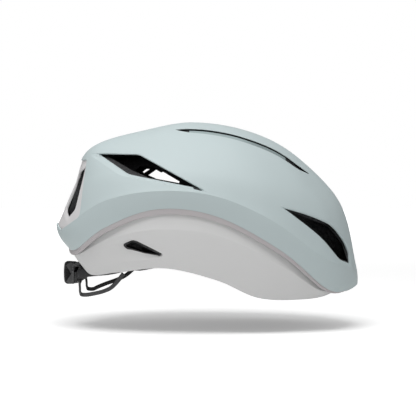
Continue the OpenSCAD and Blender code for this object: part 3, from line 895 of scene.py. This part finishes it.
# Dial: a black nylon knob with a dished rear face. A ring of black rubber with fine grooves is
# moulded round it for grip.
def turned(profile):
    """A shape turned round the dial's axis from (distance along X, radius) points."""
    bm = bmesh.new()
    spots = [bm.verts.new((dial.x + along, 0, dial.z + radius)) for along, radius in profile]
    line = [bm.edges.new(pair) for pair in zip(spots, spots[1:])]
    bmesh.ops.spin(
        bm, geom=[*spots, *line], cent=dial, axis=(1, 0, 0), angle=2 * math.pi, steps=192,
        use_merge=True,
    )
    bmesh.ops.remove_doubles(bm, verts=bm.verts, dist=0.002)
    bmesh.ops.recalc_face_normals(bm, faces=bm.faces)
    return bm


grip_grooves, groove_depth = 24, 0.5

bm = turned([(-2.6, 0), (-2.6, 2.3), (-5.3, 2.3), (-5.5, 5.3), (-6.3, 5.6), (-6.5, 8.4),
             (-7.0, 9.4), (-8.2, 9.8), (-12.6, 9.8), (-13.3, 10.0), (-14.2, 9.8), (-14.6, 9.1),
             (-14.5, 8.3), (-14.1, 7.4), (-13.6, 4), (-13.4, 0)])
finish_piece(bm, "dial_knob", "dial", plastic_black, ("knob",), sharp=34)

bm = turned([(-7.2, 9.7), (-7.1, 10.2), (-7.5, 10.7), (-8.4, 10.9), (-12.0, 10.9), (-12.9, 10.7),
             (-13.3, 10.2), (-13.2, 9.7), (-10, 9.75), (-7.2, 9.7)])
for v in bm.verts:
    arm = Vector((0, v.co.y - dial.y, v.co.z - dial.z))
    if arm.length > 10.3:
        groove = max(0, math.cos(grip_grooves * math.atan2(arm.y, arm.z))) ** 3
        v.co -= arm.normalized() * groove_depth * groove
bm.normal_update()
s = Shader("black_grip_rubber")
grain = s.noise(1400, 3)
s.bump(grain, 0.25, 0.0003)
s.finish(
    Base_Color=s.blend(grain.step(0.3, 0.7), (0.007, 0.007, 0.0072), (0.013, 0.013, 0.0135)),
    Roughness=grain * 0.15 + 0.6,
    Specular_IOR_Level=0.3,
)
rubber_black = s.material
finish_piece(
    bm, "dial_grip_ring", "dial", rubber_black, ("knob_grip",), sharp=40
)


# Cradle arms: flat nylon strips. Their colour is painted light and shade: grey on the side that
# faces out from the head and black on the side that faces in. Each drops from the housing, folds
# at the corner and runs forward along the nape. The left one rises sooner and more gently.
def curve_through(points, steps):
    """The smooth line through the points, with steps to each stretch."""
    made = [spline(*four, m / steps) for four in stretches(points) for m in range(steps)]
    return made + [Vector(points[-1])]


def heading_at(path, k):
    return (path[min(k + 1, len(path) - 1)] - path[max(k - 1, 0)]).normalized()


def strip_along(path, flat, width, thick, corner):
    """A strip swept along a path. flat(k) gives the direction across its width."""
    half, deep = width / 2, thick / 2
    section = rounded([(-half, -deep), (half, -deep), (half, deep), (-half, deep)], corner, 3)
    rows = []
    for k, p in enumerate(path):
        heading = heading_at(path, k)
        across = flat(k)
        across = (across - heading * across.dot(heading)).normalized()
        up = heading.cross(across)
        rows.append([p + across * q.x + up * q.y for q in section])
    bm = lofted(rows)
    bmesh.ops.holes_fill(bm, edges=open_edges(bm), sides=0)
    bmesh.ops.recalc_face_normals(bm, faces=bm.faces)
    return bm


arm_width, arm_thickness = 3.7, 1.9
arm_drop = [(-119.5, 25.5, 14.2), (-119.3, 30.6, 14.3), (-118.9, 33.8, 12.4), (-118.5, 34.9, 8.4),
            (-118.3, 35.1, 4.8), (-116.6, 35.2, 2.4), (-112, 35.4, 2.2)]
right_line = arm_drop + [(-107.5, 36, 2.9), (-100.6, 37.2, 4.4), (-95, 38.8, 6.2),
                         (-88.9, 41.4, 9.4), (-82.5, 44.2, 16), (-77.6, 46, 22.4)]
left_line = arm_drop + [(-107.5, 36, 4.2), (-100.6, 37.2, 7), (-95, 38.8, 8.9), (-88.9, 41.4, 11),
                        (-82.5, 44.2, 13.9), (-77.6, 46, 17.4), (-73.6, 47, 21)]


def arm_lies(k):
    """Across the arm at a row: along X at the housing, then level, then nearly upright."""
    if k <= 10:
        return Vector((1, 0, 0)).lerp(Vector((0, 1, 0)), k / 10)
    return Vector((0, 1, 0)).lerp(Vector((-0.15, 0, 1)), part_way(k, 24, 8))


# The arm's colour is painted light and shade: faces turned away from the head get the grey, faces
# turned towards it the black.
s = Shader("arm_with_painted_light_and_shade")
facing = s.axis("Y", s.node("ShaderNodeNewGeometry").outputs["Normal"])
outer = (facing * s.axis("Y") * 40).step(0.1, 0.9)
grain = s.noise(1900, 3)
s.bump(grain, 0.1, 0.0002)
s.finish(
    Base_Color=s.blend(outer, (0.013, 0.013, 0.0135), (0.062, 0.062, 0.064)),
    Roughness=grain * 0.12 + 0.4,
)
painted_shade_arm_material = s.material
for side, name, line in ((1, "left", left_line), (-1, "right", right_line)):
    path = curve_through([(x, side * y, z) for x, y, z in line], 6)
    bm = strip_along(path, arm_lies, arm_width, arm_thickness, 0.35)
    finish_piece(
        bm, f"cradle_arm_{name}", "cradle", painted_shade_arm_material, (f"arm_{name}",), sharp=30
    )


# Stem and guide: a flexible black strap that holds the cradle up, and the nylon track on the
# foam's rear wall that it slides in for height.
head_middle = Vector((0, 0, 38))
half_length, half_width, head_height = 99, 77, 88
stem_width, stem_thickness = 11, 1.4
stem_line = [(-110.6, 0, 23.5), (-105, 0, 27.6), (-99, 0, 34)]
stem_on_wall = [(-96, 42, 2.9), (-95, 52, 2.7), (-91.8, 63, 2.96), (-86.8, 74, 3.15)]


def on_head(p):
    """The point of the head space's wall in line with its middle and the point."""
    d = Vector(p) - head_middle
    reach = Vector((d.x / half_length, d.y / half_width, max(0, d.z) / head_height)).length
    return head_middle + d / reach


def near_wall(p, depth):
    q = on_head(p)
    return q + (head_middle - q).normalized() * depth


finish_piece(
    moulded_copy("height_guide", 0.3), "height_track", "helmet", plastic_black,
    ("height_guide",),
)
stem_line += [near_wall((x, 0, z), depth) for x, z, depth in stem_on_wall]
path = curve_through(stem_line, 5)
bm = strip_along(path, lambda k: Vector((0, 1, 0)), stem_width, stem_thickness, 0.4)
stem = finish_piece(bm, "cradle_stem", None, plastic_black, ("stem",))
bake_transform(stem)


# Comfort pads: thin charcoal foam in brushed knit cloth, welded flat round their edges and held to
# the head space by hook and loop tape.
def brushed_knit():
    s = Shader("brushed_charcoal_knit")
    across = (s.axis("X") * 2600).math("SINE") * (s.axis("Z") * 2600).math("SINE")
    fuzz = s.noise(1600, 4)
    s.bump(across * 0.35 + fuzz, 0.35, 0.0004)
    tone = s.blend(fuzz.step(0.3, 0.75), (0.016, 0.017, 0.019), (0.036, 0.037, 0.041))
    s.finish(
        Base_Color=tone,
        Roughness=fuzz * 0.1 + 0.82,
        Sheen_Weight=0.25,
        Specular_IOR_Level=0.2,
    )
    return s.material


pad_fabric = brushed_knit()
scene = bpy.context.scene


def swollen(piece, voxel, pressure, cap):
    """Remeshes a pad, blows it up a little as cloth, and keeps every point near where it was."""
    remesh = piece.modifiers.new("even_faces", "REMESH")
    remesh.mode = "VOXEL"
    remesh.voxel_size = voxel
    bpy.context.view_layer.objects.active = piece
    bpy.ops.object.modifier_apply(modifier=remesh.name)
    before = [v.co.copy() for v in piece.data.vertices]
    cloth = piece.modifiers.new("cloth", "CLOTH")
    cloth.settings.quality = 6
    cloth.settings.mass = 0.1
    cloth.settings.tension_stiffness = 20
    cloth.settings.compression_stiffness = 20
    cloth.settings.bending_stiffness = 1.5
    cloth.settings.use_pressure = True
    cloth.settings.uniform_pressure_force = pressure
    cloth.settings.effector_weights.gravity = 0
    for number in range(1, 21):
        scene.frame_set(number)
    bpy.ops.object.modifier_apply(modifier=cloth.name)
    scene.frame_set(1)
    for v, start in zip(piece.data.vertices, before):
        move = v.co - start
        if move.length > cap:
            v.co = start + move.normalized() * cap


# A quilted pad has this many quilts over a span of the turn round the head, with sewn channels
# between them on the side that faces the head.
pad_quilts = {"brow_pad": (7, 1.8), "crown_pad": (3, 0.92), "rear_pad": (3, 0.92),
              "side_pad_left": None, "side_pad_right": None}
channel_width, channel_depth, least_thickness = 0.9, 1.6, 2.2


def channel(co, quilts, span, facing):
    """How deep a sewn channel is at a point, as a share. Facing is 1 in front, -1 behind."""
    turn = math.atan2(facing * co.y / half_width, facing * co.x / half_length)
    place = (turn + span / 2) / span * quilts
    if not 0 < round(place) < quilts:
        return 0
    away = abs(place - round(place)) * span / quilts * head_height
    return math.exp(-((away / channel_width) ** 2))


for name, quilting in pad_quilts.items():
    bm = moulded_copy(name)
    middle = sum((v.co for v in bm.verts), Vector()) / len(bm.verts)
    for v in bm.verts:
        v.co += (middle - v.co).normalized() * 0.35
    bmesh.ops.recalc_face_normals(bm, faces=bm.faces)
    pad = finish_piece(bm, f"{name}_cushion", "helmet", pad_fabric, (name,))
    swollen(pad, voxel=0.0014, pressure=4, cap=0.0009)
    bm = bmesh.new()
    bm.from_mesh(pad.data)
    bmesh.ops.scale(bm, verts=bm.verts, vec=(1000, 1000, 1000))
    for v in bm.verts if quilting else ():
        wall = on_head(v.co)
        inward = (head_middle - wall).normalized()
        depth = (v.co - wall).dot(inward)
        if depth > least_thickness + 0.2:
            groove = channel(v.co, *quilting, -1 if name == "rear_pad" else 1)
            v.co -= inward * groove * min(channel_depth, depth - least_thickness)
    bmesh.ops.smooth_vert(
        bm, verts=bm.verts, factor=0.5, use_axis_x=True, use_axis_y=True, use_axis_z=True
    )
    bmesh.ops.scale(bm, verts=bm.verts, vec=(0.001, 0.001, 0.001))
    for f in bm.faces:
        f.smooth = True
    bm.to_mesh(pad.data)
    bm.free()
    soft = pad.modifiers.new("fine_faces", "SUBSURF")
    soft.levels = soft.render_levels = 1


# Chin straps: black woven polyester webbing, stowed inside the head space. The front and rear
# straps of each side meet at a divider, and the chin strap runs on to the buckle. The right chin
# strap belongs to no body.
def woven(name):
    """Webbing: ribs along the strap from its own UV map, crossed by fine picks."""
    s = Shader(name)
    uv = s.node("ShaderNodeUVMap", {"uv_map": "weave"}).outputs["UV"]
    along, across = s.axis("X", uv), s.axis("Y", uv)
    rib = (across * 26 * math.pi).math("SINE")
    pick = (along * 2800).math("SINE")
    check = (rib * pick).step(-0.5, 0.5)
    selvedge = (across - 0.5).math("ABSOLUTE").step(0.42, 0.45)
    height = check * (1 - selvedge) + selvedge * 0.8
    s.bump(height, 0.6, 0.0003)
    tone = s.blend(height, (0.012, 0.012, 0.013), (0.034, 0.034, 0.036))
    s.finish(Base_Color=tone, Roughness=height * -0.1 + 0.8, Sheen_Weight=0.15)
    return s.material


webbing = woven("black_woven_webbing")


strap_width, strap_thickness = 15, 1.5
front_path = [
    near_wall(p, 2.4) for p in ((14, 78, 27), (13, 78, 36), (10, 76, 50), (7, 66, 66))
]
rear_path = [
    near_wall(p, 2.8) for p in ((-58, 56, 34), (-46, 60, 46), (-30, 62, 58), (-16, 60, 69))
]
chin_path = [
    near_wall((-3, 60, 76), 3.95), near_wall((-5, 54, 92), 3.3), near_wall((-7, 44, 106), 3),
    (-8, 34, 113.6), (-8.5, 28, 111.1), (-9, 20.9, 109.6),
]


def strap(name, path, node, body):
    """Webbing that lies flat to the head, with rounded edges and its own weave map."""
    rows = []
    for k, p in enumerate(path):
        heading = heading_at(path, k)
        across = (p - head_middle).normalized().cross(heading)
        across = (across - heading * across.dot(heading)).normalized()
        up = heading.cross(across)
        ring = []
        for m in range(36):
            t = 2 * math.pi * m / 36
            c, e = math.cos(t), math.sin(t)
            ring.append(
                p + across * strap_width / 2 * math.copysign(abs(c) ** 0.35, c)
                + up * strap_thickness / 2 * math.copysign(abs(e) ** 0.7, e)
            )
        rows.append(ring)
    bm = lofted(rows)
    bmesh.ops.holes_fill(bm, edges=open_edges(bm), sides=0)
    bmesh.ops.recalc_face_normals(bm, faces=bm.faces)
    weave = bm.loops.layers.uv.new("weave")
    lengths = [0.0]
    for a, b in zip(path, path[1:]):
        lengths.append(lengths[-1] + (b - a).length)
    for f in bm.faces:
        for corner in f.loops:
            co = corner.vert.co
            k = min(range(len(path)), key=lambda n: (path[n] - co).length)
            heading = heading_at(path, k)
            across = (path[k] - head_middle).normalized().cross(heading).normalized()
            off = co - path[k]
            corner[weave].uv = (
                (lengths[k] + off.dot(heading)) * 0.001,
                0.5 + off.dot(across) / strap_width,
            )
    return finish_piece(bm, name, body, webbing, (node,), sharp=40)


for side, name in ((1, "left"), (-1, "right")):
    for kind, line in (("front", front_path), ("rear", rear_path), ("chin", chin_path)):
        path = [Vector((p.x, side * p.y, p.z)) for p in curve_through(line, 9)]
        loose = (kind, name) == ("chin", "right")
        webbed = strap(
            f"{kind}_strap_{name}", path, f"strap_{kind}_{name}", None if loose else "helmet"
        )
        if loose:
            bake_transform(webbed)


# Strap dividers and buckle: glossy black acetal mouldings. The buckle's two prongs spring into the
# side slots of its socket.
acetal_black = moulded_plastic("black_acetal", (0.014, 0.014, 0.0145), 0.26, 2860, 0.05)
for side in ("left", "right"):
    finish_piece(
        moulded_copy(f"divider_{side}", 0.5), f"strap_divider_{side}", "helmet",
        acetal_black, (f"divider_{side}",), sharp=34,
    )
finish_piece(
    moulded_copy("buckle_socket", 0.8), "buckle_housing", "helmet", acetal_black,
    ("buckle_socket",),
)
finish_piece(
    moulded_copy("buckle_plug", 0.5), "buckle_prongs", "buckle_plug", acetal_black,
    ("buckle_plug",),
)


# Studio: a white floor under a large soft light from above and a fill from the camera's side.
# Floor and background glow for the camera alone. The helmet hovers a little over the floor, as in
# the picture.
floor_level = -0.030


def soft_light(name, power, size, place, aim):
    lamp = bpy.data.lights.new(name, "AREA")
    lamp.shape = "RECTANGLE"
    lamp.size, lamp.size_y = size
    lamp.energy = power
    holder = bpy.data.objects.new(name, lamp)
    bpy.context.collection.objects.link(holder)
    holder.location = place
    holder.rotation_euler = (Vector(aim) - Vector(place)).to_track_quat("-Z", "Y").to_euler()


soft_light("overhead_softbox", 10.2, (0.9, 0.7), (-0.14, -0.42, 1.05), (-0.05, 0, 0.05))
soft_light("camera_fill", 1.1, (1.6, 0.9), (-0.3, -1.9, 0.75), (0, 0, 0.08))

world = bpy.data.worlds.new("studio_air")
world.use_nodes = True
bpy.context.scene.world = world
tree = world.node_tree
tree.nodes.clear()
direction = tree.nodes.new("ShaderNodeTexCoord").outputs["Generated"]
height = tree.nodes.new("ShaderNodeSeparateXYZ")
tree.links.new(direction, height.inputs[0])
fade = tree.nodes.new("ShaderNodeMapRange")
tree.links.new(height.outputs["Z"], fade.inputs["Value"])
for name, amount in (("From Min", -1), ("From Max", 1), ("To Min", 0.02), ("To Max", 0.52)):
    fade.inputs[name].default_value = amount
air = tree.nodes.new("ShaderNodeBackground")
tree.links.new(fade.outputs["Result"], air.inputs["Strength"])
paper = tree.nodes.new("ShaderNodeBackground")
paper.inputs["Color"].default_value = (1, 1, 1, 1)
path = tree.nodes.new("ShaderNodeLightPath")
choose = tree.nodes.new("ShaderNodeMixShader")
tree.links.new(path.outputs["Is Camera Ray"], choose.inputs[0])
tree.links.new(air.outputs[0], choose.inputs[1])
tree.links.new(paper.outputs[0], choose.inputs[2])
made = tree.nodes.new("ShaderNodeOutputWorld")
tree.links.new(choose.outputs[0], made.inputs["Surface"])

s = Shader("white_floor")
s.finish(Base_Color=(0.98, 0.98, 0.98), Roughness=0.9, Specular_IOR_Level=0.0)
path = s.node("ShaderNodeLightPath").outputs["Is Camera Ray"]
s.finish(Emission_Color=(1.0, 1.0, 1.0))
far = s.axis("Y").step(-0.1, 3.5)
s.put(s.surface.inputs["Emission Strength"], s.value(path) * (far * 0.9 + 0.3))
bm = bmesh.new()
bmesh.ops.create_grid(bm, x_segments=4, y_segments=4, size=6)
bmesh.ops.translate(bm, verts=bm.verts, vec=(0, 0, floor_level))
mesh = bpy.data.meshes.new("floor")
bm.to_mesh(mesh)
bm.free()
mesh.materials.append(s.material)
floor = bpy.data.objects.new("floor", mesh)
bpy.context.collection.objects.link(floor)
